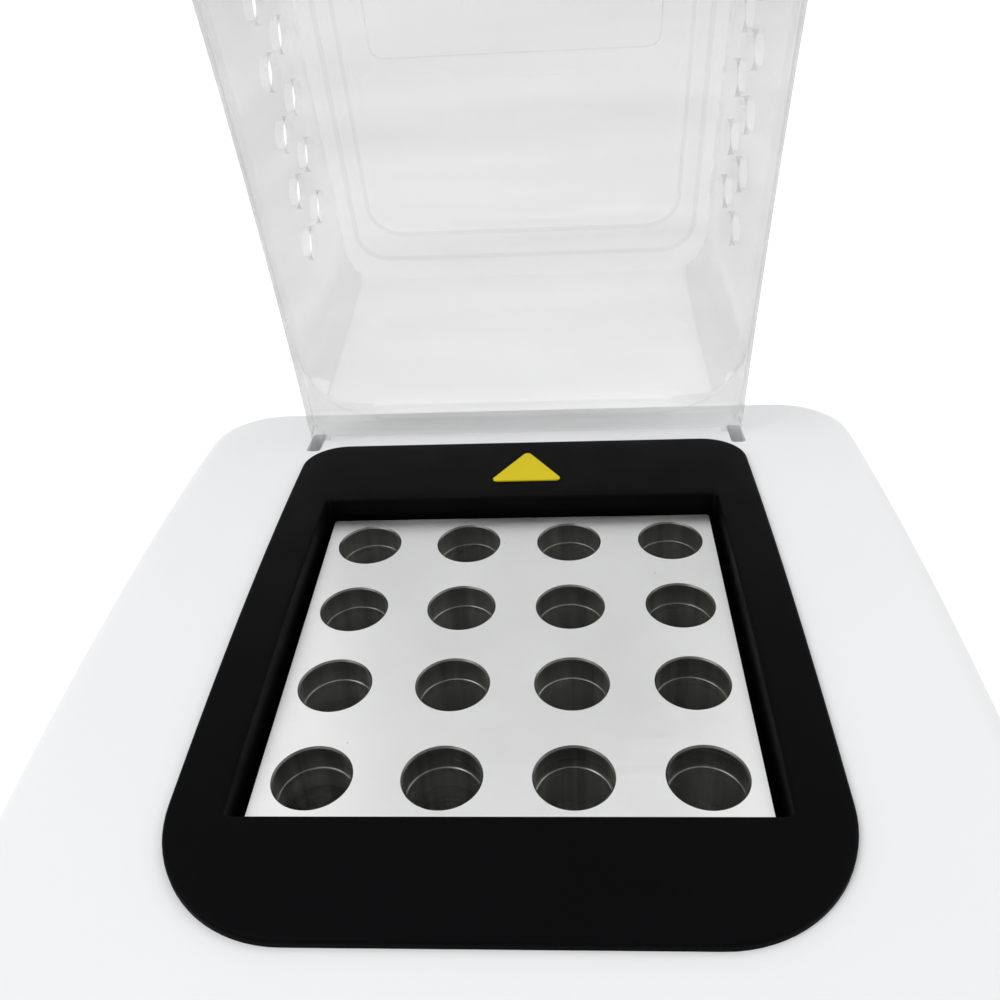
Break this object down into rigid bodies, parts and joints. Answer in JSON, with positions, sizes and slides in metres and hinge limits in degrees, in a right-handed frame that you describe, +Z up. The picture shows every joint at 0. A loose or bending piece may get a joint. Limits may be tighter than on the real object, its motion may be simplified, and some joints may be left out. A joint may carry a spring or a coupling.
{
  "type": "digestion block reactor",
  "caption": "Bench reactor with a drilled aluminium heating block for sealed vials under a clear hinged hood, in a white case with a control panel.",
  "frame": {"origin": "on the bench, under the middle of the box around the whole reactor with its hood open", "axes": "+X across the case to the right of someone at the control panel, +Y from the control panel to the rear, +Z up"},
  "size_m": [0.216, 0.3504, 0.3315],
  "materials": {
    "white_housing": "fine satin moulded plastic, near white",
    "black_bezel": "matt black moulded plastic with a fine spark texture",
    "clear_hood": "clear, faintly milky polycarbonate",
    "block_aluminium": "milled face, bored wells",
    "steel": "zinc plated or stainless",
    "sheet_steel": "galvanised sheet",
    "yellow_marker": "plain yellow film with an embossed edge line",
    "rubber": "matt rubber",
    "insulation": "compressed fibre board",
    "mica_mat": "mica heater mat",
    "panel_film": "textured polyester film",
    "display_glass": "clear acrylic window",
    "display_grey": "unlit display",
    "key_grey": "silicone key",
    "key_green": "silicone key",
    "board_green": "glass fibre board with solder resist",
    "black_plastic": "moulded plastic",
    "light_plastic": "tinted lens",
    "copper_yellow": "wound coil under tape",
    "relay_blue": "moulded plastic",
    "terminal_green": "moulded plastic",
    "lead_brown": "lead insulation",
    "lead_red": "silicone lead insulation",
    "lead_white": "lead insulation",
    "cable_grey": "flat cable",
    "fuse_glass": "glass fuse"
  },
  "bodies": {
    "case": {"top_cover": "white_housing", "base_tray": "white_housing", "rubber_feet": "rubber", "foot_screws": "steel", "case_screws": "steel", "block_bezel": "black_bezel", "surface_marker": "yellow_marker", "heating_block": "block_aluminium", "block_floor": "block_aluminium", "heater_mat": "mica_mat", "clamp_plate": "sheet_steel", "clamp_screws": "steel", "temperature_probe": "steel", "thermal_cutout": "black_plastic", "block_posts": "steel", "insulation_floor": "insulation", "insulation_jacket": "insulation", "block_can": "sheet_steel", "can_pillars": "steel", "hinge_pins": "steel", "panel_overlay": "panel_film", "display_window": "display_glass", "lcd_module": "display_grey", "display_board": "board_green", "display_screws": "steel", "key_switches": "black_plastic", "status_lights": "light_plastic", "display_cable": "cable_grey", "control_board": "board_green", "board_pillars": "lead_white", "board_screws": "steel", "transformer": "copper_yellow", "heatsink": "black_plastic", "triac": "black_plastic", "relay": "relay_blue", "terminal_block": "terminal_green", "capacitors": "black_plastic", "power_inlet": "black_plastic", "inlet_pins": "steel", "inlet_screws": "steel", "switch_frame": "black_plastic", "switch_tabs": "steel", "mains_leads": "lead_brown", "heater_leads": "lead_red", "probe_lead": "lead_white"},
    "hood": {"lid": "clear_hood"},
    "up_key": {"key_up": "key_grey"},
    "down_key": {"key_down": "key_grey"},
    "mode_key": {"key_mode": "key_grey"},
    "start_key": {"key_start": "key_green"},
    "rocker": {"power_rocker": "black_plastic"},
    "fuse_tray": {"fuse_drawer": "black_plastic", "fuses": "fuse_glass"}
  },
  "joints": [
    {"name": "hood_hinge", "type": "hinge", "parent": "case", "child": "hood", "pos_m": [0, 0.10108, 0.14145], "axis": [1, 0, 0], "range_deg": [0, 75]},
    {"name": "up_key_press", "type": "slide", "parent": "case", "child": "up_key", "axis": [0, 0.6428, -0.766], "range_m": [0, 0.0008], "stiffness_N_per_m": 400, "springref_m": -0.0006},
    {"name": "down_key_press", "type": "slide", "parent": "case", "child": "down_key", "axis": [0, 0.6428, -0.766], "range_m": [0, 0.0008], "stiffness_N_per_m": 400, "springref_m": -0.0006},
    {"name": "mode_key_press", "type": "slide", "parent": "case", "child": "mode_key", "axis": [0, 0.6428, -0.766], "range_m": [0, 0.0008], "stiffness_N_per_m": 400, "springref_m": -0.0006},
    {"name": "start_key_press", "type": "slide", "parent": "case", "child": "start_key", "axis": [0, 0.6428, -0.766], "range_m": [0, 0.0008], "stiffness_N_per_m": 400, "springref_m": -0.0006},
    {"name": "rocker_tilt", "type": "hinge", "parent": "case", "child": "rocker", "pos_m": [0.016, 0.13378, 0.034], "axis": [1, 0, 0], "range_deg": [-20, 0]},
    {"name": "fuse_tray_slide", "type": "slide", "parent": "case", "child": "fuse_tray", "axis": [0, 1, 0], "range_m": [0, 0.022]}
  ]
}
